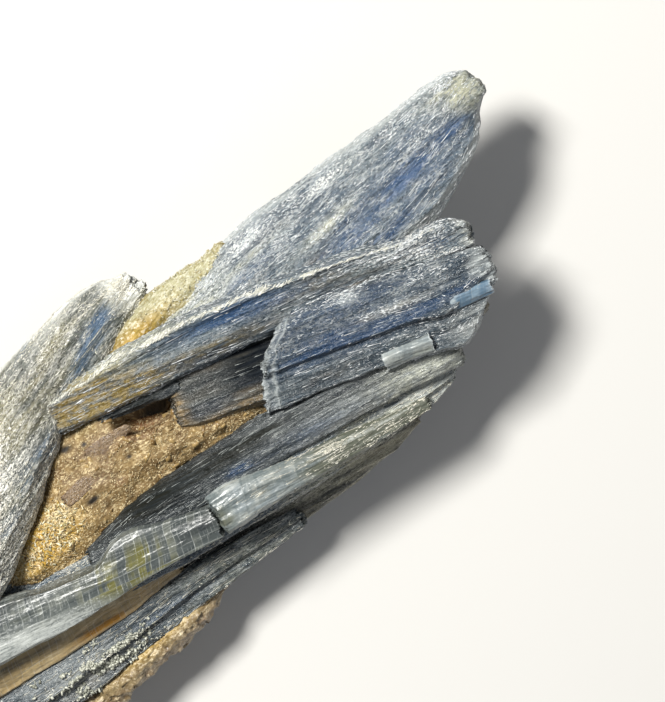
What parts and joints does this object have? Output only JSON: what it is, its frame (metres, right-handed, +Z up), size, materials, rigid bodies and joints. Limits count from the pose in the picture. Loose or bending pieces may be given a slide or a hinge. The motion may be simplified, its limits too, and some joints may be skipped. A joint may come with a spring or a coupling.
{
  "type": "kyanite blade cluster",
  "caption": "Loose mineral specimen: flattened kyanite blades fanning out of a broken root, with an iron-stained matrix pocket and crusts between them.",
  "frame": {"origin": "under the middle of the specimen's box, on the surface that it lies on", "axes": "+Z up from the surface, +X along the fan from the broken root to the blade tips, +Y towards the upper blade's side"},
  "size_m": [0.0892, 0.037, 0.0197],
  "materials": {
    "kyanite": "satin",
    "clear_kyanite": "polished",
    "amber_kyanite": "satin",
    "matrix": "matte",
    "yellow_crust": "matte",
    "quartz_crust": "satin"
  },
  "bodies": {
    "root": {"ridge_blade": "kyanite", "broken_blade": "kyanite", "left_blade": "kyanite", "stub_blade": "clear_kyanite", "clear_blade": "clear_kyanite", "dark_blade": "kyanite", "upper_blade": "kyanite", "recessed_blade": "kyanite", "lower_blade": "kyanite", "amber_blade": "amber_kyanite", "edge_blade": "kyanite", "bottom_blade": "kyanite", "pocket_matrix": "matrix", "yellow_crust": "yellow_crust", "edge_crust": "quartz_crust", "back_blade_middle": "kyanite", "back_blade_left": "kyanite", "back_blade_right": "kyanite"}
  },
  "joints": []
}
